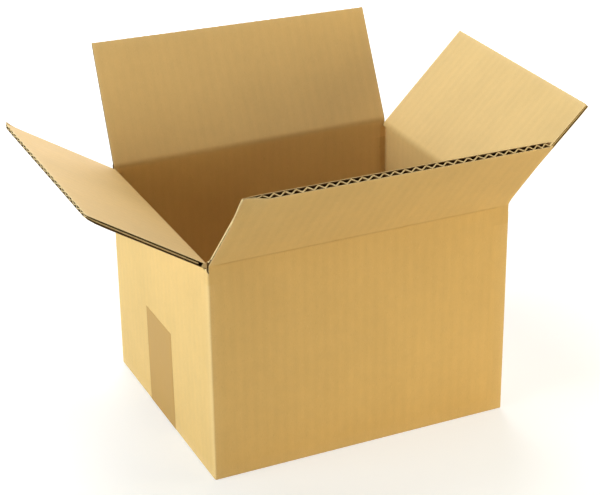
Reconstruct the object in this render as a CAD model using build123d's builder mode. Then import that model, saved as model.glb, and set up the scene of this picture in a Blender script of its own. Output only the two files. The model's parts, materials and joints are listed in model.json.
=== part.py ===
from build123d import *
from collections import namedtuple
import os

# An open slotted carton of corrugated board, in millimetres, with its four top flaps spread and its bottom
# flaps closed and taped. X runs along its length, Y towards the back and Z up from the floor, and the origin
# is on the floor under the middle of the box.

# Outside of the walls, with the height from the floor to the crease of the long flaps
length = 230.0
width = 192.0
height = 166.0

# Board of two liners with a fluted sheet between them
board = 4.0
liner = 0.45
flute_pitch = 7.7
flute_web = 0.9  # fluted sheet, measured along the board
flute_crest = 0.3  # fluted sheet left between a tunnel's tip and the liner
crushed_root = 12.0  # stretch beside a crease where the flutes are pressed shut
side_hollow = 1.2  # depth of the gap between the liners along a cut side edge

# Folds of the walls
corner_radius = 2.0
bottom_fold_radius = 1.5

# Flaps, with each top flap's lean outwards from upright, in degrees
seam_gap = 5.0  # between the free edges of two flaps that close towards each other
long_slot = 1.5  # from the side edge of a long top flap to the outside of the end wall
slot_clearance = 1.0  # from the side edge of a flap that closes between two walls to the wall beside it
slot_dip = 1.5  # from the crease of an end flap down to the floor of the slot at the corner
stack_gap = 0.2  # between a long flap and the end flap closed under it
front_lean = 42.0
back_lean = 26.0
left_lean = 57.5
right_lean = 45.5

# Hinge line of a top flap, just outside the wall, with a mitre on the wall and on the flap
hinge_offset = 0.15
crease_gap = 0.3

# Glued tab that joins the front wall's end to the right wall, inside the box
tab_width = 32.0
tab_thickness = 3.0
tab_taper = 12.0
tab_relief = 4.0  # from the tab's ends to the end flaps closed above and below it
seam_slit = 0.5  # open line outside, between the right wall's fold and the front wall's cut end
seam_depth = 2.0

# Tape over the bottom seam and up both end walls
tape_width = 50.0
tape_thickness = 0.15
tape_rise = 80.0  # top of the tape's ends above the floor
tape_shift = 5.0  # from the middle of the box back to the tape's middle line

cut_margin = 1.0  # how far a cutting shape reaches past the board

# Sizes that follow from the ones above
long_reach = (width - seam_gap) / 2
end_reach = min(long_reach, (length - seam_gap) / 2)
end_crease = height - board - stack_gap
slot_floor = end_crease - slot_dip
inner_length = length - 2 * board
inner_width = width - 2 * board
core = board - 2 * liner
tunnel_height = core - flute_crest
tunnel_base = (flute_pitch / 2 - flute_web) / (1 - core / (2 * tunnel_height))
long_bottom = tape_thickness
end_bottom = long_bottom + board + stack_gap
wall_top = height - crease_gap

UP = Vector(0, 0, 1)
FRONT, BACK = Vector(0, -1, 0), Vector(0, 1, 0)
LEFT, RIGHT = Vector(-1, 0, 0), Vector(1, 0, 0)

# A wall faces one way and stands so far out. Its crease is at a height, and the mitre under the crease has a
# width. Its two flaps have a length from crease to free edge, and widths at the top and the bottom, and the
# bottom one lies at a height.
Wall = namedtuple("Wall", "facing stand crease mitre_width reach top_width bottom_width under")
long_wall = (width / 2, height, length, long_reach, length - 2 * long_slot)
long_wall += (inner_length - 2 * slot_clearance, long_bottom)
end_wall = (length / 2, end_crease, inner_width, end_reach, inner_width - 2 * slot_clearance)
end_wall += (inner_width - 2 * slot_clearance, end_bottom)
walls = (Wall(FRONT, *long_wall), Wall(BACK, *long_wall), Wall(LEFT, *end_wall), Wall(RIGHT, *end_wall))
leans = {"front_flap": front_lean, "back_flap": back_lean, "left_flap": left_lean, "right_flap": right_lean}


def flute_ends(edge_middle, away, across, edge_width):
    """Open ends of the flutes on a cut edge: away points off the edge, across from one liner to the other."""
    count = int((edge_width - 2 * side_hollow - flute_web) // flute_pitch)
    half = tunnel_base / 2
    top = board - liner
    with BuildSketch(Plane(edge_middle, x_dir=across.cross(away), z_dir=away)) as ends:
        with GridLocations(flute_pitch, board, count, 1):
            Polygon((-half, liner), (half, liner), (0, liner + tunnel_height), align=None)
        with GridLocations(flute_pitch, board, count - 1, 1):
            Polygon((-half, top), (0, top - tunnel_height), (half, top), align=None)
        with Locations((-edge_width / 2, board / 2), (edge_width / 2, board / 2)):
            Rectangle(2 * side_hollow, core)
    return ends.sketch


def top_flap(wall, lean):
    """One top flap at its lean, hinged on the outer edge of its wall, with a mitred root and open flutes."""
    hinge = wall.facing * (wall.stand + hinge_offset) + UP * wall.crease
    crease_line = wall.facing.cross(UP)
    turn = Axis((0, 0, 0), crease_line)
    along = UP.rotate(turn, -lean)
    inward = (-wall.facing).rotate(turn, -lean)
    edge_middle = hinge + along * wall.reach + inward * hinge_offset
    flutes = flute_ends(edge_middle, along, inward, wall.top_width)
    with BuildPart() as flap:
        with BuildSketch(Plane(hinge, x_dir=along, z_dir=crease_line)):
            with BuildLine():
                Polyline(
                    (crease_gap, hinge_offset),
                    (wall.reach, hinge_offset),
                    (wall.reach, hinge_offset + board),
                    (crease_gap + board, hinge_offset + board),
                    close=True,
                )
            make_face()
        extrude(amount=wall.top_width / 2, both=True)
        extrude(flutes, amount=crushed_root - wall.reach, mode=Mode.SUBTRACT)
    return flap


os.makedirs("parts", exist_ok=True)

# Walls, closed bottom flaps and glued tab, folded from one sheet
with BuildPart() as carton:
    with BuildSketch(Plane.XY.offset(long_bottom)) as ring:
        Rectangle(length, width)
        folded = [corner for corner in ring.vertices() if corner.X < 0 or corner.Y > 0]
        fillet(folded, radius=corner_radius)
        Rectangle(inner_length, inner_width, mode=Mode.SUBTRACT)
    extrude(amount=wall_top - long_bottom)
    fillet(carton.faces().sort_by(Axis.Z)[0].outer_wire().edges(), radius=bottom_fold_radius)

    # Mitred top of each wall, under its flap
    for wall in walls:
        mitre = wall.crease - crease_gap
        with BuildSketch(Plane(wall.facing * wall.stand, x_dir=-wall.facing, z_dir=UP.cross(wall.facing))):
            with BuildLine():
                Polyline(
                    (-cut_margin, mitre + cut_margin),
                    (board, mitre - board),
                    (board, height + cut_margin),
                    (-cut_margin, height + cut_margin),
                    close=True,
                )
            make_face()
        extrude(amount=wall.mitre_width / 2, both=True, mode=Mode.SUBTRACT)

    # Slots between the top flaps, down past the creases at the four corners
    slot_x = long_slot + cut_margin
    slot_y = board + cut_margin
    with BuildSketch(Plane.XY.offset(slot_floor)):
        with GridLocations(length + 2 * cut_margin - slot_x, width + 2 * cut_margin - slot_y, 2, 2):
            Rectangle(slot_x, slot_y)
    extrude(amount=height - slot_floor, mode=Mode.SUBTRACT)

    # Bottom flaps: the long ones underneath, the end ones closed over them inside
    for wall in walls:
        plate_length = wall.reach - bottom_fold_radius
        middle = wall.facing * (wall.stand - bottom_fold_radius - plate_length / 2) + UP * wall.under
        with BuildSketch(Plane(middle, x_dir=wall.facing, z_dir=UP)):
            Rectangle(plate_length, wall.bottom_width)
        extrude(amount=board)
    for wall in walls:
        edge_middle = wall.facing * (wall.stand - wall.reach) + UP * wall.under
        flutes = flute_ends(edge_middle, -wall.facing, UP, wall.bottom_width)
        extrude(flutes, amount=crushed_root - wall.reach, mode=Mode.SUBTRACT)

    # Glued tab on the inside of the front wall, and the open line outside where the wall's cut end shows
    tab_low = end_bottom + board + tab_relief
    tab_high = end_crease - hinge_offset - board - tab_relief
    tab_root = inner_length / 2
    tab_edge = tab_root - tab_width
    with BuildSketch(Plane.XZ.offset(inner_width / 2)):
        with BuildLine():
            Polyline(
                (tab_root, tab_low),
                (tab_root, tab_high),
                (tab_edge, tab_high - tab_taper),
                (tab_edge, tab_low + tab_taper),
                close=True,
            )
        make_face()
    extrude(amount=-tab_thickness)
    with BuildSketch(Plane.XY):
        with Locations(((length - seam_depth + cut_margin) / 2, -inner_width / 2)):
            Rectangle(seam_depth + cut_margin, seam_slit)
    extrude(amount=height, mode=Mode.SUBTRACT)
carton.part.label = "carton"
export_step(carton.part, "parts/carton.step")

# Top flaps, each free to fold on its crease
for wall, (name, lean) in zip(walls, leans.items()):
    flap = top_flap(wall, lean)
    flap.part.label = name
    export_step(flap.part, f"parts/{name}.step")

# Strip of tape along the bottom seam, turned up over both end walls
with BuildPart() as tape:
    tape_middle = tape_thickness / 2
    tape_end = length / 2 + tape_middle
    with BuildSketch(Plane.XZ.offset(-tape_shift)):
        with BuildLine():
            FilletPolyline(
                (-tape_end, tape_rise),
                (-tape_end, tape_middle),
                (tape_end, tape_middle),
                (tape_end, tape_rise),
                radius=bottom_fold_radius + tape_middle,
            )
        trace(line_width=tape_thickness)
    extrude(amount=tape_width / 2, both=True)
tape.part.label = "tape"
export_step(tape.part, "parts/tape.step")
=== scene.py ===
import json
import math
from collections import namedtuple

import bmesh
import bpy
import numpy as np
from mathutils import Matrix, Vector


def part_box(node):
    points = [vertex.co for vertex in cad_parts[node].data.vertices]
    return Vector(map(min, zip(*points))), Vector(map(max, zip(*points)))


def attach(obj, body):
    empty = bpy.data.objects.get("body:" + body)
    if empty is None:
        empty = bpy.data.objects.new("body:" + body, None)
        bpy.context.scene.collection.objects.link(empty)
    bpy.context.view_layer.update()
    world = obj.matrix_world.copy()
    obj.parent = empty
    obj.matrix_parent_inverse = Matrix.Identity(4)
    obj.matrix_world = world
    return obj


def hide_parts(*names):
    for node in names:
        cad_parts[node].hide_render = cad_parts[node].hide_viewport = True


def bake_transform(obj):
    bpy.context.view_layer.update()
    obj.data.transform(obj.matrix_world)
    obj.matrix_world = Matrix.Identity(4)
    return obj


# An open cardboard box: corrugated board with its liners and flutes, folded on scored creases, and paper
# tape. Shapes are worked out in millimetres in the frame of the CAD part and written to meshes in metres.

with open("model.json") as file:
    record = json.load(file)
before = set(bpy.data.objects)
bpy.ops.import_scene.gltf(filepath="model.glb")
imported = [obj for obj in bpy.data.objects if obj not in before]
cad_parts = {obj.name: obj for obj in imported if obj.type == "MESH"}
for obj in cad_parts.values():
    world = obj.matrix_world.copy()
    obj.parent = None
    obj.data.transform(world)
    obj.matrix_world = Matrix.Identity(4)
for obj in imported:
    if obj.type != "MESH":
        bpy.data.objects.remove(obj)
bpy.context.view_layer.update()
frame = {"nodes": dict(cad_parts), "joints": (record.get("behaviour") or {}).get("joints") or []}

MM = 0.001
UP = np.array((0.0, 0.0, 1.0))
FACINGS = {
    "front": np.array((0.0, -1.0, 0.0)),
    "left": np.array((-1.0, 0.0, 0.0)),
    "back": np.array((0.0, 1.0, 0.0)),
    "right": np.array((1.0, 0.0, 0.0)),
}
SIDES = list(FACINGS)
LONG_SIDES = ("front", "back")

# Board
LINER = 0.30  # thickness of each of the two flat sheets
FLUTE_PITCH = 7.7
FLUTE_STEPS = 8  # columns of a mesh to one flute
WEB = 1.05  # fluted sheet, measured through the board
WEB_SHARPNESS = 1.2  # 1 is a pure zigzag, more flattens its tips
WEB_RECESS = 0.35  # from a cut edge across the flutes back to the fluted sheet
SIDE_RECESS = 1  # columns from a side edge along the flutes back to the fluted sheet
CREST = 0.8  # fluted sheet left on the inner liner along a side cut through its crest
WASHBOARD = 0.022  # height of the ridges that the flutes print through a liner
RIDGE_FADE = 25.0  # stretch of wall beside a corner over which the ridges fade

# Cut edges
EDGE_RAGGED = 0.12  # unevenness of a cut edge
OUTER_TEAR, INNER_TEAR, WEB_TEAR = 9.0, 7.0, 5.0  # wavelength of it on the two liners and the fluted sheet
EDGE_WEAR = 1.5  # worn stretch beside an edge cut across the flutes
SIDE_WEAR = 1.2  # worn stretch beside an edge cut along the flutes
SIDE_WEAR_START = 2.0  # stretch beside the crease over which the side's wear starts
CLOSED_WEAR, CREST_WEAR = 0.6, 0.9  # paleness of a side that is crushed shut and of a cut crest

# Folds
FOLD = 1.0  # half of the stretch of the outer liner that turns at a flap's crease
CORE_START = 6.0  # from a flap's crease to the fluted sheet, which is crushed before that
CRUSHED_END = 3.0  # from a flap's crease to the end of a side that is crushed shut
SCORE_DEPTH = 0.15  # dent of the score in the inner liner
SCORE_WIDTH = 1.4
SCORE_SHADE_WIDTH = 1.1  # half width of the painted shade along the score
# darkness of the painted shade along the score
SCORE_SHADE_DARKNESS = 0.8
CREASE_DEPTH = 0.45  # buckled line in the outer liner
CREASE_WIDTH = 0.5
CREASE_WANDER = 0.35
CREASE_START = 14.0  # stretch from a side edge over which it starts
CREASE_SHADE_WIDTH = 0.8  # half width of the painted shade along the outer crease
SEAM_DROP = 10.0  # from the end flaps' creases down to where the flaps' meshes meet the walls'
SLOT_DIP = 1.5  # from the end flaps' creases down to the floor of the slots at the corners

# Walls, bottom and turn of the flaps
CORNER_RADIUS = 1.6
CORNER_ZONE = 12.0  # from a corner's outer edge to the plain stretch of wall beside it
# width of the pale wear on outer corners and of the painted shade in inner corners
CORNER_WEAR_AND_SHADE = 2.5
BOTTOM_RADIUS = 1.2
FOOT_WEAR = 2.0
BOW = {"front": 0.8, "left": 0.5, "back": 0.8, "right": 0.8}  # bulge of each wall's middle
STACK_GAP = 0.2  # between a long flap and the end flap over it
BOTTOM_CLEARANCE = 1.0  # from a bottom flap's side to the wall beside it
CLOSED_TURN = -90.0  # turn of a top flap from upright to closed, in degrees


def smooth(value):
    """Smooth step from 0 at 0 to 1 at 1."""
    step = np.clip(value, 0.0, 1.0)
    return step * step * (3 - 2 * step)


OCTAVES = (1.0, 0.62, 0.37, 0.21)
OCTAVE_PEAK = 1.6  # about the most that the octaves reach together


def wander(place, wavelength, seed):
    """Smooth uneven line between about -1 and 1, the same each time for a seed."""
    draw = np.random.default_rng(seed)
    total = np.zeros_like(np.asarray(place, float))
    for octave in OCTAVES:
        total += octave * np.sin(2 * np.pi * (place / (wavelength * octave) + draw.random()))
    return total / OCTAVE_PEAK


def cad_span(node, origin, direction):
    """Least and greatest reach of a CAD node from a point along a direction."""
    corners = np.array([vertex.co for vertex in frame["nodes"][node].data.vertices]) / MM
    reach = (corners - origin) @ direction
    return reach.min(), reach.max()


# Walls and creases, from the CAD part

Crease = namedtuple("Crease", "side facing line lean along inward corner height reach half_width")
carton_low, carton_high = (np.array(corner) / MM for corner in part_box("carton"))
tape_low, tape_high = (np.array(corner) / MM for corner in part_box("tape"))
BOTTOM = carton_low[2]
MIDDLE = (carton_low + carton_high) / 2 * (1, 1, 0)  # of the walls, on the floor


def crease_of(side):
    """A wall's crease, with the ways along the flap, into its board and along the crease."""
    joint = next(joint for joint in frame["joints"] if joint["child"] == f"{side}_flap")
    facing = FACINGS[side]
    hinge = np.array(joint["pos_m"]) / MM
    lean = math.radians(CLOSED_TURN - joint["range_deg"][0])
    line = np.cross(facing, UP)
    along = facing * math.sin(lean) + UP * math.cos(lean)
    inward = -facing * math.cos(lean) + UP * math.sin(lean)
    reach = cad_span(f"{side}_flap", hinge, along)[1]
    half_width = cad_span(f"{side}_flap", hinge, line)[1]
    offset = cad_span(f"{side}_flap", hinge, inward)[0]
    bisector = (inward - facing) / np.linalg.norm(inward - facing)
    corner = hinge + bisector * offset / math.cos(lean / 2)
    return Crease(side, facing, line, lean, along, inward, corner, corner[2], reach, half_width)


CREASES = {side: crease_of(side) for side in SIDES}
BOARD = float(np.ptp(cad_span("front_flap", CREASES["front"].corner, CREASES["front"].inward)))
END_CREASE = CREASES["left"].height
SEAM = END_CREASE - SEAM_DROP
SLOT_FLOOR = END_CREASE - SLOT_DIP
HALF = {"front": carton_high[0], "back": carton_high[0], "left": carton_high[1], "right": carton_high[1]}


def stand_of(side):
    """From the middle of the box out to a wall's outer face."""
    return abs(CREASES[side].corner @ CREASES[side].facing)


def bow(side, across, height):
    """Bulge of a wall outwards, none at its corners, at the floor and at its crease."""
    share = 1 - (across / HALF[side]) ** 2
    rise = np.sin(np.pi * np.clip((height - BOTTOM) / (CREASES[side].height - BOTTOM), 0, 1))
    return BOW[side] * np.clip(share, 0, 1) * rise


def washboard(across):
    """Ridges that the flutes print through a liner."""
    return WASHBOARD * np.cos(2 * np.pi * across / FLUTE_PITCH)


# Corners, each between a wall and the next one round, with the score inside it: how deep it is pressed into
# the wall before the corner and into the wall after it, and how far along that wall
CORNERS = [("front", "left"), ("left", "back"), ("back", "right"), ("right", "front")]
GLUED = ("right", "front")  # corner where the glued tab joins the sheet's ends
Score = namedtuple("Score", "depth width")
EVEN_SCORE = Score(2.4, 3.5)
CORNER_SCORES = {corner: (EVEN_SCORE, EVEN_SCORE) for corner in CORNERS}
CORNER_SCORES["back", "right"] = (Score(0.6, 1.2), Score(2.8, 8.0))


def pressed_by(score, distance):
    """Depth of a score inside a corner, at a distance along a wall from the corner."""
    return score.depth * np.clip(1 - distance / score.width, 0, 1)


# Meshes

SHARP = math.radians(35)  # edges that turn more than this aren't shaded smooth
# The fluted sheet's material is partly its own darker brown and partly painted shade of the deep flutes; it
# also colours the liners' hidden sides
OUTSIDE, INSIDE, SHADED_CORE, CUT = range(4)  # materials of the board's faces
WALL_OFFSET = {"front": 0.0, "left": 250.0, "back": 500.0, "right": 750.0}  # keeps the walls' grains apart
INNER_OFFSET = 1500.0  # keeps the inner liner's grain apart from the outer one's
BOTTOM_OFFSET = 3000.0  # keeps the bottom flaps' grain apart from the walls'
FLAP_SEED, FLAP_SEED_STEP = 3, 10  # for the first flap, and from one to the next
POST_SEED = 40
BOTTOM_SEED, BOTTOM_SEED_STEP = 60, 3


class Shell:
    """Closed plates collected into one mesh, with a material for each face. Each point has its place on the
    board, in millimetres across and along it, and marks for painted shade in creases and corners and for
    wear."""

    def __init__(self):
        self.points, self.board, self.marks, self.faces, self.skins = [], [], [], [], []
        self.count = 0

    def grid(self, points, board, marks):
        """Adds rows and columns of points and returns their numbers."""
        shape = points.shape[:2]
        self.points.append(points.reshape(-1, 3))
        for kept, values in ((self.board, board), (self.marks, marks)):
            layers = [np.broadcast_to(value, shape) for value in (*values, 0.0)]
            kept.append(np.stack(layers, -1).reshape(-1, 3))
        numbers = np.arange(self.count, self.count + shape[0] * shape[1]).reshape(shape)
        self.count += numbers.size
        return numbers

    def strip(self, first, second, skin):
        """Joins two equal lines of points by quads."""
        quads = np.stack([first[:-1], first[1:], second[1:], second[:-1]], -1)
        self.faces.append(quads)
        self.skins.append(np.full(len(quads), skin))

    def surface(self, numbers, skin):
        for low, high in zip(numbers[:-1], numbers[1:]):
            self.strip(low, high, skin)

    def plate(self, face, back, skins, ring=False):
        """Closes two grids of points into a plate: skins are those of its face, its back and its rim."""
        if ring:
            face = np.hstack([face, face[:, :1]])
            back = np.hstack([back, back[:, :1]])
        self.surface(face, skins[0])
        self.surface(back, skins[1])
        for edge in (0, -1):
            self.strip(face[edge], back[edge], skins[2])
            if not ring:
                self.strip(face[:, edge], back[:, edge], skins[2])

    def make(self, name, materials):
        """Makes the mesh and its object, with the places and marks as attributes for the materials."""
        mesh = bpy.data.meshes.new(name)
        mesh.from_pydata(np.concatenate(self.points) * MM, [], np.concatenate(self.faces).tolist())
        for material in materials:
            mesh.materials.append(material)
        mesh.polygons.foreach_set("material_index", np.concatenate(self.skins).astype(np.int32))
        outward = bmesh.new()
        outward.from_mesh(mesh)
        bmesh.ops.recalc_face_normals(outward, faces=outward.faces)
        outward.to_mesh(mesh)
        outward.free()
        for title, values in (("board", self.board), ("marks", self.marks)):
            attribute = mesh.attributes.new(title, "FLOAT_VECTOR", "POINT")
            attribute.data.foreach_set("vector", np.concatenate(values).astype(np.float32).ravel())
        mesh.shade_smooth()
        mesh.set_sharp_from_angle(angle=SHARP)
        piece = bpy.data.objects.new(name, mesh)
        bpy.context.scene.collection.objects.link(piece)
        return piece


# Sheets of corrugated board

# A sheet has its flutes along it and a cut edge at its last row. place gives the points for grids along and
# across the sheet and into it, and profile gives the outer liner's depth and the board's thickness.
Sheet = namedtuple("Sheet", "place profile rows columns grain seed")
CORE_ROWS = 6  # even rows of the fluted sheet
CORE_END = 12.0  # from the last of them to the cut edge
CORE_END_ROWS = np.array((6.0, 2.0, 0.0))  # rows from there on, from the end of the fluted sheet


def columns_of(half_width):
    """Places across a sheet: steps of a flute from the middle, and the two edges."""
    step = FLUTE_PITCH / FLUTE_STEPS
    count = int(half_width // step)
    steps = np.arange(-count, count + 1) * step
    inner = steps[np.abs(steps) < half_width - step / 3]
    return np.concatenate([[-half_width], inner, [half_width]])


def torn_edge(along, columns, wavelength, seed):
    """Places along a sheet with its last row as ragged as a cut edge."""
    torn = along.copy()
    torn[-1] += EDGE_RAGGED * wander(columns, wavelength, seed)
    return torn


def add_liners(shell, sheet, outer_rim):
    """The two flat sheets of a board, with painted shade along the crease on each and worn edges."""
    along, across = np.meshgrid(sheet.rows, sheet.columns, indexing="ij")
    outer, thickness = sheet.profile(along, across)
    inner = outer + thickness
    to_side = sheet.columns[-1] - np.abs(across)
    side_wear = np.exp(-to_side / SIDE_WEAR) * smooth(along / SIDE_WEAR_START)
    worn = np.clip(np.exp(-(sheet.rows[-1] - along) / EDGE_WEAR) + side_wear, 0, 1)
    ridge = washboard(across)

    # Painted shade along the outer crease, fading in from the sides
    crease_shade = np.exp(-(along / CREASE_SHADE_WIDTH) ** 2) * smooth(to_side / CREASE_START)
    torn = torn_edge(along, sheet.columns, OUTER_TEAR, sheet.seed)
    board = (across + sheet.grain, along)
    depths = (outer - ridge, outer + LINER)
    layers = [shell.grid(sheet.place(torn, across, depth), board, (crease_shade, worn)) for depth in depths]
    shell.plate(*layers, (OUTSIDE, SHADED_CORE, outer_rim))

    # Painted shade along the score on the inner liner
    score_shade = SCORE_SHADE_DARKNESS * np.exp(-(along / SCORE_SHADE_WIDTH) ** 2)
    torn = torn_edge(along, sheet.columns, INNER_TEAR, sheet.seed + 1)
    board = (across + sheet.grain + INNER_OFFSET, along)
    depths = (inner - ridge, inner - LINER)
    layers = [shell.grid(sheet.place(torn, across, depth), board, (score_shade, worn)) for depth in depths]
    shell.plate(*layers, (INSIDE, SHADED_CORE, CUT))


def add_filling(shell, sheet, rows, columns, depths_of, wear):
    """A plate of cut board inside a sheet, with depths_of giving its two faces from those of the liners."""
    along, across = np.meshgrid(rows, columns, indexing="ij")
    outer, thickness = sheet.profile(along, across)
    board = (across + sheet.grain, along)
    depths = depths_of(outer, outer + thickness)
    layers = [shell.grid(sheet.place(along, across, depth), board, (0.0, wear)) for depth in depths]
    shell.plate(*layers, (CUT, CUT, CUT))


def add_closed_sides(shell, sheet, closed_from):
    """Both sides of a sheet crushed shut beside its crease."""
    rows = sheet.rows[(sheet.rows >= closed_from) & (sheet.rows <= CRUSHED_END)]
    for columns in (sheet.columns[:2], sheet.columns[-2:]):
        add_filling(shell, sheet, rows, columns,
                    lambda outer, inner: (outer + LINER / 2, inner - LINER / 2), CLOSED_WEAR)


def add_crest(shell, sheet, core_from):
    """A strip of the fluted sheet left on the inner liner along the last side, cut through a crest."""
    rows = sheet.rows[sheet.rows >= core_from]
    add_filling(shell, sheet, rows, sheet.columns[-2:],
                lambda outer, inner: (inner - LINER / 2, inner - LINER - CREST), CREST_WEAR)


def add_core(shell, sheet, core_from):
    """The fluted sheet between the liners."""
    end = sheet.rows[-1]
    even_rows = np.linspace(core_from, end - CORE_END, CORE_ROWS)
    rows = np.concatenate([even_rows, end - WEB_RECESS - CORE_END_ROWS])
    columns = sheet.columns[SIDE_RECESS:-SIDE_RECESS]
    along, across = np.meshgrid(rows, columns, indexing="ij")
    outer, thickness = sheet.profile(along, across)
    room = thickness - 2 * LINER
    zigzag = np.abs(across / FLUTE_PITCH % 1 - 0.5) * 4 - 1
    wave = np.clip(WEB_SHARPNESS * zigzag, -1, 1)
    web = WEB * room / (BOARD - 2 * LINER)
    middle = outer + LINER + room / 2 + wave * (room - web) / 2
    torn = torn_edge(along, columns, WEB_TEAR, sheet.seed + 2)
    board = (across + sheet.grain, along)
    marks = (0.0, np.exp(-(rows[-1] - along) / EDGE_WEAR))
    depths = (middle - web / 2, middle + web / 2)
    layers = [shell.grid(sheet.place(torn, across, depth), board, marks) for depth in depths]
    shell.plate(*layers, (SHADED_CORE, SHADED_CORE, CUT))


def add_board(shell, sheet, core_from, closed_from=None, outer_rim=CUT, crest=False):
    """A sheet of corrugated board, open at its cut edges: two liners and the fluted sheet between them."""
    add_liners(shell, sheet, outer_rim)
    if closed_from is not None:
        add_closed_sides(shell, sheet, closed_from)
    if crest:
        add_crest(shell, sheet, core_from)
    add_core(shell, sheet, core_from)


# Top flaps, each with the top of its wall and the crease between them

# Corners of each flap, at the two ends of its crease: how far its root stands out past the slot, how far the
# cut flares there, and how far the free corner lies past a square one, along the flap and out from its middle
Corner = namedtuple("Corner", "root flare along out")
FLAP_CORNERS = {
    "front": (Corner(-0.5, 1.7, -4.0, -2.9), Corner(0.4, 0.0, 0.9, 0.2)),
    "left": (Corner(0.0, 0.0, 1.5, -1.0), Corner(0.0, 0.0, 2.6, -2.3)),
    "back": (Corner(0.1, 0.0, -0.4, -1.7), Corner(-0.4, 0.0, -4.2, -0.8)),
    "right": (Corner(0.0, 0.0, 0.4, 0.7), Corner(-1.0, 0.0, -0.8, 0.7)),
}
FLARE_LENGTH = 5.0
SIDE_BAND = 22.0  # stretch beside a side edge that follows it when it slants

# Wear of each flap: the shares of the board's thickness lost along its free edge, at its first and last
# sides and at its last free corner, and whether the inner liner gives way at the sides or the outer one
Wear = namedtuple("Wear", "edge first_side last_side corner inside")
FLAP_WEAR = {
    "front": Wear(edge=0.0, first_side=0.10, last_side=0.50, corner=0.66, inside=True),
    "left": Wear(edge=0.42, first_side=0.15, last_side=0.75, corner=0.0, inside=False),
    "back": Wear(edge=0.10, first_side=0.50, last_side=0.25, corner=0.0, inside=False),
    "right": Wear(edge=0.10, first_side=0.25, last_side=0.25, corner=0.0, inside=False),
}
EDGE_PRESSED = 4.0  # stretch beside the free edge
SIDE_PINCHED = 2.5  # stretch beside a side
CRUSHED_WIDTH, CRUSHED_LENGTH = 17.0, 40.0  # crushed free corner
CRUSHED_EVENLY = 0.15  # share of its width, beside the side edge, that is crushed evenly
LEAST_BOARD = 2 * LINER + 0.2  # thickness that is left of board pressed flat
BUCKLE_LINE, BUCKLE_DEPTH = 70.0, 45.0  # wavelengths of the outer crease's line and depth
BUCKLE_MEAN, BUCKLE_SWING = 0.6, 0.4  # share of its depth, and how much that varies

# Flaps with a side cut through a crest, or with sides crushed shut from the slot's floor and an outer rim in
# the fluted sheet's colour, as painted shade
FLAP_SIDES = {
    "front": {"crest": True},
    "left": {"closed_from": SLOT_FLOOR - END_CREASE, "outer_rim": SHADED_CORE},
}

# Rows of a flap's mesh: the wall, the stretch beside the slot, the fold, the flat of the flap and its edge
WALL_ROWS, SLOT_ROWS, FOLD_ROWS, FLAT_ROWS = 5, 4, 25, 18
FOLD_ZONE = 3.0  # half of the finely divided stretch over the crease
EDGE_ZONE = 3.0  # finely divided stretch before the free edge
EDGE_ROWS = np.array((-2.0, -1.2, -0.5, 0.0))
STEP_ROWS = 0.05  # from the slot's floor to the rows below and above it


def fold_place(crease):
    """Placing for a wall and its flap: along from the crease, across it, and into the board from outside."""
    def place(along, across, depth):
        turn = np.clip((along + FOLD) / (2 * FOLD), 0, 1)[..., None]
        wall = np.minimum(along + FOLD, 0)[..., None]
        flap = np.maximum(along - FOLD, 0)[..., None]
        line = UP * (wall - FOLD * (1 - turn) ** 2) + crease.along * (flap + FOLD * turn**2)
        into = (turn - 1) * crease.facing + turn * crease.inward
        into /= np.linalg.norm(into, axis=-1, keepdims=True)
        return crease.corner + line + into * depth[..., None] + crease.line * across[..., None]
    return place


def flap_place(crease):
    """fold_place with the flap's side and free edges as uneven as they were cut."""
    fold = fold_place(crease)

    def place(along, across, depth):
        share = np.clip(along / crease.reach, 0, 1)
        flared = np.exp(-np.maximum(along, 0) / FLARE_LENGTH)
        above_slot = along > SLOT_FLOOR - crease.height
        near_side = smooth(1 - (crease.half_width - np.abs(across)) / SIDE_BAND)
        past, out = 0.0, 0.0
        for way, corner in zip((-1, 1), FLAP_CORNERS[crease.side]):
            past = past + share * corner.along * (1 + way * across / crease.half_width) / 2
            slant = corner.flare * flared + corner.root * (1 - share) + corner.out * share
            out = out + way * slant * near_side * above_slot * (way * across > 0)
        return fold(along + past, across + out, depth)
    return place


def flap_profile(crease, seed):
    """Depth of the outer liner and thickness of the board, over the top of a wall and its flap."""
    wear = FLAP_WEAR[crease.side]
    slot = SLOT_FLOOR - crease.height
    first_score = next(scores[1] for corner, scores in CORNER_SCORES.items() if corner[1] == crease.side)
    last_score = next(scores[0] for corner, scores in CORNER_SCORES.items() if corner[0] == crease.side)

    def profile(along, across):
        to_side = crease.half_width - np.abs(across)
        to_edge = crease.reach - along
        line = CREASE_WANDER * wander(across, BUCKLE_LINE, seed)
        buckled = BUCKLE_MEAN + BUCKLE_SWING * wander(across, BUCKLE_DEPTH, seed + 1)
        groove = CREASE_DEPTH * buckled * smooth(to_side / CREASE_START)
        groove = groove * np.exp(-((along - line) / CREASE_WIDTH) ** 2)

        pinched = np.where(across > 0, wear.last_side, wear.first_side) * np.exp(-to_side / SIDE_PINCHED)
        pinched = BOARD * pinched * smooth(along / SIDE_PINCHED)
        near_side = smooth(1 + CRUSHED_EVENLY - (crease.half_width - across) / CRUSHED_WIDTH)
        near_edge = smooth(1 - to_edge / CRUSHED_LENGTH)
        pressed = np.maximum(wear.edge * np.exp(-to_edge / EDGE_PRESSED), wear.corner * near_side * near_edge)

        score = SCORE_DEPTH * np.exp(-(along / SCORE_WIDTH) ** 2)
        to_corner = HALF[crease.side] - BOARD - np.abs(across)
        corner = np.where(across > 0, pressed_by(last_score, to_corner), pressed_by(first_score, to_corner))
        corner = corner * smooth(1 + slot - along)

        outer = BOARD * pressed + groove
        inner = BOARD - score - corner
        if wear.inside:
            inner = inner - pinched
        else:
            outer = outer + pinched
        thickness = np.maximum(inner - outer, LEAST_BOARD)
        return outer - bow(crease.side, across, crease.height + along), thickness
    return profile


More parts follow.
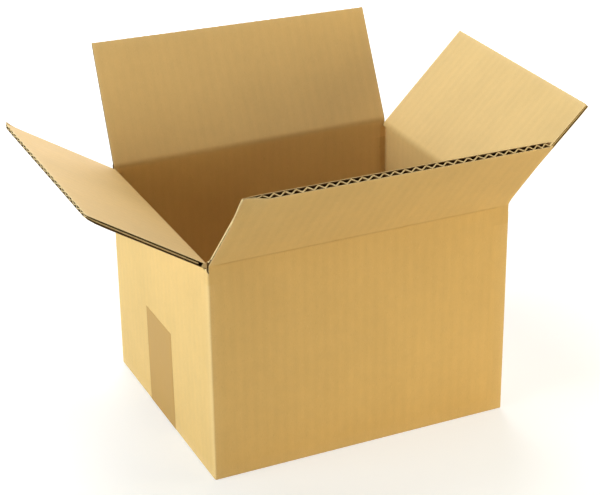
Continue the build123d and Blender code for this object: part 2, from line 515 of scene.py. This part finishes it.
def flap_rows(crease):
    """Places along the top of a wall and its flap, with rows just below and above the slot's floor."""
    slot = min(SLOT_FLOOR - crease.height, -FOLD_ZONE)
    wall = np.linspace(SEAM - crease.height, slot - STEP_ROWS, WALL_ROWS)
    beside = np.linspace(slot + STEP_ROWS, -FOLD_ZONE, SLOT_ROWS)[:-1] if slot < -FOLD_ZONE else []
    fold = np.linspace(-FOLD_ZONE, FOLD_ZONE, FOLD_ROWS)
    flat = np.linspace(FOLD_ZONE, crease.reach - EDGE_ZONE, FLAT_ROWS)[1:]
    return np.concatenate([wall, beside, fold, flat, crease.reach + EDGE_ROWS])


def make_flap(crease, seed, materials):
    """One flap with the top of its wall, bent over the crease between them."""
    shell = Shell()
    place, profile = flap_place(crease), flap_profile(crease, seed)
    columns = columns_of(crease.half_width)
    sheet = Sheet(place, profile, flap_rows(crease), columns, WALL_OFFSET[crease.side], seed)
    add_board(shell, sheet, CORE_START, **FLAP_SIDES.get(crease.side, {}))
    body = f"{crease.side}_flap"
    piece = shell.make(f"{body}_board", materials)
    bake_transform(piece)
    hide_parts(body)


# Walls, with their folded corners, the posts between the slots and the glued end

CORNER_COLUMNS = 13  # over the bend of a corner
CORNER_STEPS = 3  # beside the bend, on each wall
GLUE_COLUMNS = (CORNER_ZONE, 3.0, 1.0)  # along the front wall, from its cut end
GLUE_ROUND = 0.25  # rounded edge of that end
GLUE_LINER = LINER + 0.1
GLUE_GAP, GLUE_GAP_SLOPE = 1.6, 0.15  # depth of the gap between its liners, and slope of its two sides
GLUE_SLIT, GLUE_SLIT_DEPTH = 0.5, 2.2  # slit between that end and the fold of the right wall
GLUE_SLIT_FLOOR = 0.1  # half width of the slit's floor
FOOT_ROWS, WALL_RINGS = 6, 15
TORN = {("front", "left"): 2.2}  # how far a corner's torn fibres stand up beside the slot
LITTLE_TORN = 0.3  # and at the other corners
TEAR_FROM, TEAR_OVER = 0.45, 0.4  # shares of a post's width before the tear and over which it rises
TEAR_UNEVEN, TEAR_WAVE = 0.5, 3.3  # how uneven the tear is, and its wavelength in columns
TEAR_WEAR = 0.8  # worn stretch below it
POST_ROWS = 6
POST_GAP = 0.03  # from the slot's floor down to the top of a post that isn't torn


def glued_outline():
    """Outer outline of the glued corner: the front wall's cut end with a gap between its liners, then the
    slit and the fold of the right wall."""
    steps = np.array([
        *((-away, 0) for away in GLUE_COLUMNS),
        (-GLUE_ROUND, 0),
        (-GLUE_ROUND / 5, GLUE_ROUND / 5),
        (0, GLUE_ROUND),
        (0, GLUE_LINER),
        (-GLUE_GAP, GLUE_LINER + GLUE_GAP_SLOPE),
        (-GLUE_GAP, BOARD - GLUE_LINER - GLUE_GAP_SLOPE),
        (0, BOARD - GLUE_LINER),
        (0, BOARD - GLUE_SLIT / 2),
        (-GLUE_SLIT_DEPTH, BOARD - GLUE_SLIT_FLOOR),
        (-GLUE_SLIT_DEPTH, BOARD + GLUE_SLIT_FLOOR),
        (-GLUE_SLIT, BOARD + GLUE_SLIT / 2),
        (-GLUE_SLIT / 5, BOARD + GLUE_SLIT),
        (0, BOARD + 2 * GLUE_SLIT),
        (0, CORNER_ZONE),
    ], float)
    return -steps[::-1, ::-1]


def folded_outline():
    """Outer outline of a folded corner: the wall before it, the bend and the wall after it."""
    angle = np.linspace(0, np.pi / 2, CORNER_COLUMNS)
    bend = CORNER_RADIUS * np.stack([np.sin(angle) - 1, 1 - np.cos(angle)], -1)
    away = np.linspace(CORNER_ZONE, CORNER_RADIUS, CORNER_STEPS + 1)[:-1]
    level = np.zeros(CORNER_STEPS)
    return np.concatenate([np.stack([-away, level], -1), bend, np.stack([level, away[::-1]], -1)])


def corner_lines(corner):
    """Outer and inner outlines of a corner: steps along the wall before it and along the wall after it."""
    outer = glued_outline() if corner == GLUED else folded_outline()
    share = np.linspace(-1, 1, len(outer))
    apart = np.abs(share)
    before, after = CORNER_SCORES[corner]
    away_before, away_after = (
        apart * (CORNER_ZONE - BOARD) - (1 - apart) * score.depth for score in (after, before))
    inner_before = np.where(share < 0, BOARD + away_before, BOARD - pressed_by(after, away_after))
    inner_after = np.where(share > 0, BOARD + away_after, BOARD - pressed_by(before, away_before))
    return outer, np.stack([-inner_before, inner_after], -1)


def corner_plan(before, after, line):
    """Plan points of an outline of the corner between two walls."""
    edge = CREASES[before].line * HALF[before] + CREASES[before].facing * HALF[after] + MIDDLE
    return edge + line[:, :1] * CREASES[before].line + line[:, 1:] * CREASES[after].line


def ring_columns():
    """Plan of the walls all round: outer and inner points, ways into the board, places across and walls."""
    outer, inner, into, across, sides = [], [], [], [], []
    for before, after in CORNERS:
        crease = CREASES[before]
        place = columns_of(HALF[before] - CORNER_ZONE)[1:-1]
        plain = crease.facing * stand_of(before) + crease.line * place[:, None]
        line_out, line_in = corner_lines((before, after))
        turn = smooth(np.linspace(0, 1, len(line_out)))[:, None]
        way = -(1 - turn) * crease.facing - turn * CREASES[after].facing
        outer += [plain, corner_plan(before, after, line_out)]
        inner += [plain - crease.facing * BOARD, corner_plan(before, after, line_in)]
        into += [np.tile(-crease.facing, (len(place), 1)), way / np.linalg.norm(way, axis=1, keepdims=True)]
        across += [place, HALF[before] + line_out.sum(axis=1)]
        sides += [before] * (len(place) + len(line_out))
    return *(np.concatenate(part) for part in (outer, inner, into, across)), sides


def add_walls(shell):
    """The ring of walls up to the seam, with a rounded foot."""
    outer, inner, into, across, sides = ring_columns()
    half = np.array([HALF[side] for side in sides])
    turned = np.linspace(np.pi / 2, 0, FOOT_ROWS)
    foot = BOTTOM + BOTTOM_RADIUS * (1 - np.sin(turned))
    heights = np.concatenate([foot, np.linspace(BOTTOM + BOTTOM_RADIUS, SEAM, WALL_RINGS)[1:]])[:, None]
    under = np.clip(1 - (heights - BOTTOM) / BOTTOM_RADIUS, 0, 1)
    tuck = BOTTOM_RADIUS * (1 - np.sqrt(1 - under**2))
    bulge = np.stack([bow(side, place, heights[:, 0]) for side, place in zip(sides, across)], -1)
    raised = bulge + washboard(across) * smooth((half - CORNER_ZONE - np.abs(across)) / RIDGE_FADE)
    rise = UP * heights[..., None]
    face = outer + into * (tuck - raised)[..., None] + rise
    back = inner - into * raised[..., None] + rise
    grain = across + np.array([WALL_OFFSET[side] for side in sides])
    below_crease = heights - np.array([CREASES[side].height for side in sides])
    near_corner = np.exp(-np.abs(across - half) / CORNER_WEAR_AND_SHADE)
    worn = np.clip(np.exp(-(heights - BOTTOM) / FOOT_WEAR) + near_corner, 0, 1)
    layers = (
        shell.grid(face, (grain, below_crease), (0.0, worn)),
        # The inner face takes painted shade in its corners
        shell.grid(back, (grain + INNER_OFFSET, below_crease), (near_corner, 0.0)),
    )
    shell.plate(*layers, (OUTSIDE, INSIDE, CUT), ring=True)


def add_posts(shell):
    """The four corners above the seam, between the slots, torn a little at the top."""
    for number, (before, after) in enumerate(CORNERS):
        reach_before, reach_after = (HALF[side] - CREASES[side].half_width for side in (before, after))
        outer = corner_lines((before, after))[0]
        outer = np.stack([np.maximum(outer[:, 0], -reach_before), np.minimum(outer[:, 1], reach_after)], -1)
        share = np.linspace(0, 1, len(outer))
        step = share[:, None]
        score_before, score_after = CORNER_SCORES[before, after]
        start = np.array((-reach_before, BOARD - pressed_by(score_before, reach_before - BOARD)))
        knee = np.array((score_after.depth - BOARD, BOARD - score_before.depth))
        end = np.array((pressed_by(score_after, reach_after - BOARD) - BOARD, reach_after))
        inner = np.where(step < 0.5, start + (knee - start) * 2 * step, knee + (end - knee) * (2 * step - 1))
        ragged = 1 + TEAR_UNEVEN * wander(np.arange(len(outer)), TEAR_WAVE, POST_SEED + number)
        torn = smooth((share - TEAR_FROM) / TEAR_OVER) * TORN.get((before, after), LITTLE_TORN) * ragged
        top = SLOT_FLOOR - POST_GAP + torn
        heights = np.linspace(SEAM, top, POST_ROWS)
        board = (HALF[before] + outer.sum(axis=1) + WALL_OFFSET[before], heights - CREASES[before].height)
        marks = (0.0, np.exp(-(top - heights) / TEAR_WEAR))
        rise = UP * heights[..., None]
        plans = [corner_plan(before, after, line) for line in (outer, inner)]
        layers = [shell.grid(plan + rise, board, marks) for plan in plans]
        shell.plate(*layers, (OUTSIDE, INSIDE, CUT))


# Bottom flaps, closed, and the glued tab

BOTTOM_ROWS = 3  # even rows of a bottom flap
BOTTOM_EDGE = 2.0  # from the last of them to its free edge
BOTTOM_EDGE_ROWS = np.array((-1.2, -0.5, 0.0))
BOTTOM_CORE = 1.0  # from the wall to a bottom flap's fluted sheet
TAB_WIDTH, TAB_THICKNESS, TAB_TAPER = 32.0, 3.0, 12.0
TAB_RELIEF = 4.0  # from the tab's ends to the end flaps closed above and below it
TAB_TOP_GAP = 0.15  # from an end flap's crease to the flap closed inside it
TAB_COLUMNS, TAB_ROWS = 9, 25


def flat_place(origin, way, line):
    """Placing for a level sheet: along a way from its origin, across it along a line, and up into it."""
    def place(along, across, depth):
        return origin + way * along[..., None] + line * across[..., None] + UP * depth[..., None]
    return place


def flat_profile(along, across):
    """Depth of the outer liner and thickness of plain board."""
    return np.zeros_like(along), np.full_like(across, BOARD)


def add_bottom(shell):
    """The four bottom flaps: the long ones underneath, the end ones over them."""
    for number, side in enumerate(SIDES):
        crease = CREASES[side]
        low = BOTTOM if side in LONG_SIDES else BOTTOM + BOARD + STACK_GAP
        length = crease.reach - BOARD
        rows = np.concatenate([np.linspace(0, length - BOTTOM_EDGE, BOTTOM_ROWS), length + BOTTOM_EDGE_ROWS])
        origin = crease.facing * (stand_of(side) - BOARD) + UP * low
        columns = columns_of(HALF[side] - BOARD - BOTTOM_CLEARANCE)
        sheet = Sheet(flat_place(origin, -crease.facing, crease.line), flat_profile, rows, columns,
                      WALL_OFFSET[side] + BOTTOM_OFFSET, BOTTOM_SEED + BOTTOM_SEED_STEP * number)
        add_board(shell, sheet, BOTTOM_CORE)


def add_tab(shell):
    """The tab of the right wall, glued to the inside of the front wall, with tapered ends."""
    crease = CREASES["front"]
    share = np.linspace(0, 1, TAB_COLUMNS)
    low = BOTTOM + 2 * BOARD + STACK_GAP + TAB_RELIEF + TAB_TAPER * share
    high = CREASES["right"].height - BOARD - TAB_TOP_GAP - TAB_RELIEF - TAB_TAPER * share
    heights = low + (high - low) * np.linspace(0, 1, TAB_ROWS)[:, None]
    across = np.broadcast_to(TAB_WIDTH * share - (HALF["front"] - BOARD), heights.shape)
    stand = stand_of("front") - BOARD + bow("front", across, heights)
    plan = crease.line * across[..., None] + UP * heights[..., None]
    board = (across + WALL_OFFSET["right"] + INNER_OFFSET, heights)
    layers = [
        shell.grid(plan + crease.facing * (stand - depth)[..., None], board, (0.0, 0.0))
        for depth in (TAB_THICKNESS, 0.0)
    ]
    shell.plate(*layers, (INSIDE, SHADED_CORE, CUT))


def make_carton(materials):
    shell = Shell()
    add_walls(shell)
    add_posts(shell)
    add_bottom(shell)
    add_tab(shell)
    piece = shell.make("carton_board", materials)
    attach(piece, "carton")
    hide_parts("carton")


# Tape

TAPE_COLUMNS = 27
TAPE_RISE_ROWS, TAPE_TURN_ROWS, TAPE_FLAT_ROWS = 30, 9, 12
TAPE_RIDGE = 0.5  # share of the board's ridges that shows through the tape
TAPE_LIFT = 0.01  # between the board and the tape's underside


def tape_line():
    """The tape's line in X and Z, from its left end to its right one, and the way off the board."""
    half, radius = carton_high[0], BOTTOM_RADIUS
    rise = np.linspace(tape_high[2], BOTTOM + radius, TAPE_RISE_ROWS)[:-1]
    angle = np.linspace(0, np.pi / 2, TAPE_TURN_ROWS)
    flat = np.linspace(half - radius, 0, TAPE_FLAT_ROWS)[1:]
    wall_line = np.stack([np.full_like(rise, half), rise], -1)
    turn_way = np.stack([np.cos(angle), -np.sin(angle)], -1)
    turn_line = np.array((half - radius, BOTTOM + radius)) + radius * turn_way
    flat_line = np.stack([flat, np.full_like(flat, BOTTOM)], -1)
    right = np.concatenate([wall_line, turn_line, flat_line])
    wall_way = np.tile((1.0, 0.0), (len(rise), 1))
    flat_way = np.tile((0.0, -1.0), (len(flat), 1))
    ways = np.concatenate([wall_way, turn_way, flat_way])
    mirror = np.array((-1, 1))
    return np.concatenate([right * mirror, right[-2::-1]]), np.concatenate([ways * mirror, ways[-2::-1]])


def make_tape(material):
    line, out = tape_line()
    length = np.concatenate([[0], np.cumsum(np.linalg.norm(np.diff(line, axis=0), axis=1))])[:, None]
    wide = np.linspace(tape_low[1], tape_high[1], TAPE_COLUMNS)
    across = np.broadcast_to(wide, (len(line), TAPE_COLUMNS))
    x, height = line[:, :1], line[:, 1:]
    bulge = np.where(x < 0, bow("left", wide, height), bow("right", wide, height))
    raised = (bulge + TAPE_RIDGE * washboard(across)) * np.abs(out[:, :1])
    shell = Shell()
    layers = []
    for lift in (tape_high[0] - carton_high[0], TAPE_LIFT):
        reach = raised + lift
        points = np.stack([x + out[:, :1] * reach, across, height + out[:, 1:] * reach], -1)
        layers.append(shell.grid(points, (across, length), (0.0, 0.0)))
    shell.plate(*layers, (0, 0, 0))
    piece = shell.make("tape_strip", [material])
    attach(piece, "carton")
    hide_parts("tape")


# Materials

# Patterns in paper: sizes across and along the board in millimetres, detail, how much each changes the tone,
# and its turn
Texture = namedtuple("Texture", "across along detail swing turn", defaults=(0.0, 0.0))
CLOUDS = Texture(38.0, 60.0, 3.0, swing=0.16)
PATCHES = Texture(7.0, 9.0, 3.0, swing=0.10)
STREAKS = Texture(1.6, 26.0, 2.0, swing=0.05)
GRAIN = Texture(0.45, 0.7, 3.0, swing=0.10)
FIBRES = Texture(0.35, 3.2, 1.0, turn=0.5)
CROSS_FIBRES = Texture(0.35, 2.8, 1.0, turn=-0.9)
FLUTE_SWING = 0.02
TAPE_CLOUDS = Texture(30.0, 45.0, 3.0, swing=0.12)
TAPE_STREAKS = Texture(1.2, 40.0, 2.0, swing=0.06)
TAPE_GRAIN = Texture(0.5, 0.5, 3.0, swing=0.07)
TAPE_FIBRES = Texture(0.4, 3.0, 1.0, turn=0.8)
TAPE_WRINKLES = Texture(9.0, 5.0, 4.0)

# Spans of noise that are used, and shares that they give
WHOLE_NOISE = (0.2, 0.8)
DARK_FIBRES, PALE_FIBRES, TAPE_PALE_FIBRES = (0.64, 0.76), (0.65, 0.77), (0.66, 0.78)
FIBRE_SHARE, TAPE_FIBRE_SHARE = 0.30, 0.20
# shares of painted shade in creases and inner corners
CREASE_SHADE_SHARES = (0.15, 0.45)
WORN_GRAIN, WORN_SHARES = (0.35, 0.7), (0.05, 0.5)

# Finish of paper
# dark fibres, and also the colour of the painted shade in creases and inner corners
DARK_FIBRE_AND_SHADE = (0.36, 0.21, 0.075, 1.0)
PALE_FIBRE = (0.86, 0.68, 0.40, 1.0)
TAPE_BROWN = (0.45, 0.265, 0.085, 1.0)
TAPE_PALE = (0.56, 0.36, 0.15, 1.0)
SPECULAR = 0.25
ROUGHNESS_SWING = 0.06
TAPE_ROUGHNESS = (0.62, 0.72)
GRAIN_HEIGHT, FIBRE_HEIGHT = 0.6, 0.5
KRAFT_BUMP = {"Strength": 0.35, "Distance": 0.00006}
TAPE_BUMP = {"Strength": 0.25, "Distance": 0.0004}


class Graph:
    """A tree of shader nodes, each made with its inputs given by name as sockets or values."""

    def __init__(self, tree):
        self.tree = tree

    def node(self, kind, inputs=(), **settings):
        node = self.tree.nodes.new(f"ShaderNode{kind}")
        for key, value in settings.items():
            setattr(node, key, value)
        for key, value in dict(inputs).items():
            self.put(node.inputs[key], value)
        return node

    def put(self, socket, value):
        if isinstance(value, bpy.types.NodeSocket):
            self.tree.links.new(value, socket)
        else:
            socket.default_value = value

    def math(self, operation, first, second=0.0):
        return self.node("Math", {0: first, 1: second}, operation=operation).outputs[0]

    def between(self, value, low, high, to_low=0.0, to_high=1.0):
        inputs = {"Value": value, "From Min": low, "From Max": high, "To Min": to_low, "To Max": to_high}
        return self.node("MapRange", inputs).outputs["Result"]

    def mix(self, share, first, second):
        """Mixes two colours. Their sockets are numbered, as those of numbers have the same names."""
        return self.node("Mix", {0: share, 6: first, 7: second}, data_type="RGBA").outputs[2]

    def attribute(self, name):
        return self.node("Attribute", attribute_name=name).outputs["Vector"]

    def parts(self, vector):
        return self.node("SeparateXYZ", {"Vector": vector}).outputs

    def noise(self, vector, texture):
        scale = (1 / texture.across, 1 / texture.along, 1.0)
        inputs = {"Vector": vector, "Scale": scale, "Rotation": (0.0, 0.0, texture.turn)}
        place = self.node("Mapping", inputs, vector_type="POINT").outputs[0]
        return self.node("TexNoise", {"Vector": place, "Scale": 1.0, "Detail": texture.detail}).outputs[0]

    def toned(self, colour, swings):
        """The colour made lighter and darker by patterns from 0 to 1, each by its own share."""
        tone = 1.0
        for pattern, swing in swings:
            tone = self.math("ADD", tone, self.math("MULTIPLY", self.math("SUBTRACT", pattern, 0.5), swing))
        return self.node("HueSaturation", {"Color": colour, "Value": tone}).outputs[0]

    def seen(self):
        """1 for rays that show a background: from the camera, off gloss or through glass."""
        rays = self.node("LightPath").outputs
        direct = self.math("MAXIMUM", rays["Is Camera Ray"], rays["Is Glossy Ray"])
        return self.math("MAXIMUM", direct, rays["Is Transmission Ray"])


def new_material(name):
    material = bpy.data.materials.new(name)
    material.use_nodes = True
    return material, Graph(material.node_tree)


def finish_paper(graph, shade, roughness, height, bump):
    """Sets a paper's look on its shader."""
    shader = graph.tree.nodes["Principled BSDF"]
    graph.put(shader.inputs["Base Color"], shade)
    graph.put(shader.inputs["Roughness"], roughness)
    graph.put(shader.inputs["Normal"], graph.node("Bump", {"Height": height, **bump}).outputs[0])
    shader.inputs["Specular IOR Level"].default_value = SPECULAR


def kraft(name, colour, contrast=1.0, roughness=0.82):
    """Brown paper: cloudy, with fibres both ways, flutes showing through, worn edges and painted shade in
    creases.
    """
    material, graph = new_material(name)
    board = graph.attribute("board")
    crease_shade_mark, wear_mark, _ = graph.parts(graph.attribute("marks"))
    clouds, patches, streaks, grain, fibres, cross_fibres = (
        graph.noise(board, texture) for texture in (CLOUDS, PATCHES, STREAKS, GRAIN, FIBRES, CROSS_FIBRES))
    waves = graph.math("SINE", graph.math("MULTIPLY", graph.parts(board)[0], 2 * math.pi / FLUTE_PITCH))
    flutes = graph.between(waves, -1.0, 1.0)
    shade = graph.toned(colour, (
        (clouds, CLOUDS.swing * contrast),
        (patches, PATCHES.swing * contrast),
        (streaks, STREAKS.swing * contrast),
        (grain, GRAIN.swing * contrast),
        (flutes, FLUTE_SWING * contrast),
    ))
    dark = graph.math("MULTIPLY", graph.between(fibres, *DARK_FIBRES), FIBRE_SHARE * contrast)
    pale = graph.math("MULTIPLY", graph.between(cross_fibres, *PALE_FIBRES), FIBRE_SHARE * contrast)
    # Painted shade in creases and inner corners, patchy
    crease_shade = graph.math("MULTIPLY", crease_shade_mark, graph.between(patches, *WHOLE_NOISE, *CREASE_SHADE_SHARES))
    worn = graph.math("MULTIPLY", wear_mark, graph.between(grain, *WORN_GRAIN, *WORN_SHARES))
    for share, over in ((dark, DARK_FIBRE_AND_SHADE), (pale, PALE_FIBRE), (crease_shade, DARK_FIBRE_AND_SHADE), (worn, PALE_FIBRE)):
        shade = graph.mix(share, shade, over)
    roughnesses = (roughness - ROUGHNESS_SWING, roughness + ROUGHNESS_SWING)
    rough = graph.between(patches, *WHOLE_NOISE, *roughnesses)
    raised = [graph.math("MULTIPLY", grain, GRAIN_HEIGHT), graph.math("MULTIPLY", fibres, FIBRE_HEIGHT)]
    finish_paper(graph, shade, rough, graph.math("ADD", *raised), KRAFT_BUMP)
    return material


def paper_tape(name):
    """Brown paper tape: cloudy, with streaks along it, pale fibres and slight wrinkles."""
    material, graph = new_material(name)
    board = graph.attribute("board")
    clouds, streaks, grain, fibres, wrinkles = (
        graph.noise(board, texture)
        for texture in (TAPE_CLOUDS, TAPE_STREAKS, TAPE_GRAIN, TAPE_FIBRES, TAPE_WRINKLES))
    shade = graph.toned(TAPE_BROWN, (
        (clouds, TAPE_CLOUDS.swing),
        (streaks, TAPE_STREAKS.swing),
        (grain, TAPE_GRAIN.swing),
    ))
    pale = graph.math("MULTIPLY", graph.between(fibres, *TAPE_PALE_FIBRES), TAPE_FIBRE_SHARE)
    shade = graph.mix(pale, shade, TAPE_PALE)
    rough = graph.between(clouds, *WHOLE_NOISE, *TAPE_ROUGHNESS)
    finish_paper(graph, shade, rough, wrinkles, TAPE_BUMP)
    return material


# Floor, light and camera

FLOOR_SIZE = 6.0
FLOOR_GREY = (0.8, 0.8, 0.8, 1.0)  # for light that bounces off it
FLOOR_SHADE = (0.5, 0.5, 0.5, 1.0)  # where it is seen, with its own glow added
FLOOR_GLOW = (0.6, 1.0)  # under the box, and where it has risen to white
GLOW_RISE = (0.4, 1.2)  # distances from the box between which it rises, in metres
WHITE = (1.0, 1.0, 1.0, 1.0)
WORLD_LIGHT = 0.02

# Round lamps: the way to each from the middle of the box, distance and size in metres, and power in watts
Lamp = namedtuple("Lamp", "name way distance size power colour")
LAMPS = (
    Lamp("key", (-0.97, 0.0, 0.22), 2.0, 1.4, 30.8, (0.79, 0.96, 1.0)),
    Lamp("side", (-0.90, -0.40, 0.15), 2.0, 1.4, 15.8, (1.0, 0.885, 0.62)),
    Lamp("back", (0.25, 0.92, 0.30), 2.0, 1.4, 47.0, (0.855, 0.905, 1.0)),
    Lamp("right", (0.80, -0.55, 0.10), 0.9, 0.5, 4.6, (1.0, 0.82, 0.385)),
    Lamp("top", (-0.1, 0.1, 0.98), 1.0, 0.5, 5.6, (0.95, 1.0, 0.99)),
    Lamp("high_right", (0.70, 0.30, 0.65), 2.0, 1.4, 6.2, (1.0, 0.97, 0.85)),
)
LAMP_TARGET = Vector((0.0, 0.0, 0.12))

# Low strip lamp in front, for the lower half of the front wall
STRIP_PLACE, STRIP_TARGET = Vector((0.03, -0.9, 0.025)), Vector((0.03, 0.0, 0.025))
STRIP_SIZE = (0.3, 0.03)
STRIP_SPREAD = math.radians(28.0)
STRIP_POWER = 0.043
STRIP_COLOUR = (1.0, 0.95, 0.72)

# Camera, fitted to the corners and creases of the photograph
LENS, SENSOR = 106.225, 36.0
CAMERA_PLACE = (-0.49360, -1.07803, 0.67197)
AZIMUTH, ELEVATION, ROLL = (math.radians(angle) for angle in (-24.4232, 25.1205, -0.7418))


def make_floor():
    """Pale floor that takes the box's shadow and is white away from it."""
    mesh = bpy.data.meshes.new("floor")
    corners = [(x * FLOOR_SIZE, y * FLOOR_SIZE, 0.0) for x, y in ((-1, -1), (1, -1), (1, 1), (-1, 1))]
    mesh.from_pydata(corners, [], [(0, 1, 2, 3)])
    floor = bpy.data.objects.new("floor", mesh)
    bpy.context.scene.collection.objects.link(floor)
    material, graph = new_material("pale_floor")
    nodes = graph.tree.nodes
    place = graph.node("TexCoord").outputs["Object"]
    away = graph.node("VectorMath", {0: place}, operation="LENGTH").outputs["Value"]
    strength = graph.between(away, *GLOW_RISE, *FLOOR_GLOW)
    glow = graph.node("Emission", {"Color": WHITE, "Strength": strength}).outputs[0]
    shaded = graph.node("BsdfDiffuse", {"Color": FLOOR_SHADE}).outputs[0]
    bright = graph.node("AddShader", {0: shaded, 1: glow}).outputs[0]
    plain = graph.node("BsdfDiffuse", {"Color": FLOOR_GREY}).outputs[0]
    mixed = graph.node("MixShader", {0: graph.seen(), 1: plain, 2: bright}).outputs[0]
    graph.put(nodes["Material Output"].inputs["Surface"], mixed)
    nodes.remove(nodes["Principled BSDF"])
    mesh.materials.append(material)


def make_world():
    """White where it is seen, and dim as light."""
    world = bpy.data.worlds.new("studio")
    bpy.context.scene.world = world
    world.use_nodes = True
    graph = Graph(world.node_tree)
    nodes = graph.tree.nodes
    dim = nodes["Background"]
    dim.inputs["Color"].default_value = WHITE
    dim.inputs["Strength"].default_value = WORLD_LIGHT
    white = graph.node("Background", {"Color": WHITE, "Strength": 1.0})
    mixed = graph.node("MixShader", {0: graph.seen(), 1: dim.outputs[0], 2: white.outputs[0]}).outputs[0]
    graph.put(nodes["World Output"].inputs["Surface"], mixed)


def make_light(name, place, target, power, colour):
    """An area light that faces a target, for its shape to be set."""
    light = bpy.data.lights.new(name, "AREA")
    light.energy = power
    light.color = colour
    lamp = bpy.data.objects.new(name, light)
    lamp.location = place
    lamp.rotation_euler = (place - target).to_track_quat("Z", "Y").to_euler()
    bpy.context.scene.collection.objects.link(lamp)
    return light


def make_lights():
    for lamp in LAMPS:
        place = LAMP_TARGET + Vector(lamp.way).normalized() * lamp.distance
        light = make_light(lamp.name, place, LAMP_TARGET, lamp.power, lamp.colour)
        light.shape = "DISK"
        light.size = lamp.size
    strip = make_light("low_front", STRIP_PLACE, STRIP_TARGET, STRIP_POWER, STRIP_COLOUR)
    strip.shape = "RECTANGLE"
    strip.size, strip.size_y = STRIP_SIZE
    strip.spread = STRIP_SPREAD


def make_camera():
    camera = bpy.data.cameras.new("camera")
    camera.lens = LENS
    camera.sensor_width = SENSOR
    camera.clip_start, camera.clip_end = 0.05, 50.0
    view = bpy.data.objects.new("camera", camera)
    turn = Matrix.Rotation(AZIMUTH, 4, "Z") @ Matrix.Rotation(math.pi / 2 - ELEVATION, 4, "X")
    view.matrix_world = Matrix.Translation(CAMERA_PLACE) @ turn @ Matrix.Rotation(ROLL, 4, "Z")
    bpy.context.scene.collection.objects.link(view)
    bpy.context.scene.camera = view


board_papers = [
    kraft("kraft_outside", (0.66, 0.44, 0.18, 1.0)),
    kraft("kraft_inside", (0.66, 0.445, 0.19, 1.0), contrast=0.9),
    # Fluted sheet: partly its own darker brown, partly painted shade of the deep flutes
    kraft("fluted_core_shaded", (0.20, 0.095, 0.028, 1.0)),
    kraft("cut_edge", (0.72, 0.52, 0.26, 1.0), contrast=1.3, roughness=0.9),
]
make_carton(board_papers)
for number, crease in enumerate(CREASES.values()):
    make_flap(crease, FLAP_SEED + FLAP_SEED_STEP * number, board_papers)
make_tape(paper_tape("brown_tape"))

make_floor()
make_world()
make_lights()
make_camera()
bpy.context.scene.view_settings.view_transform = "Standard"
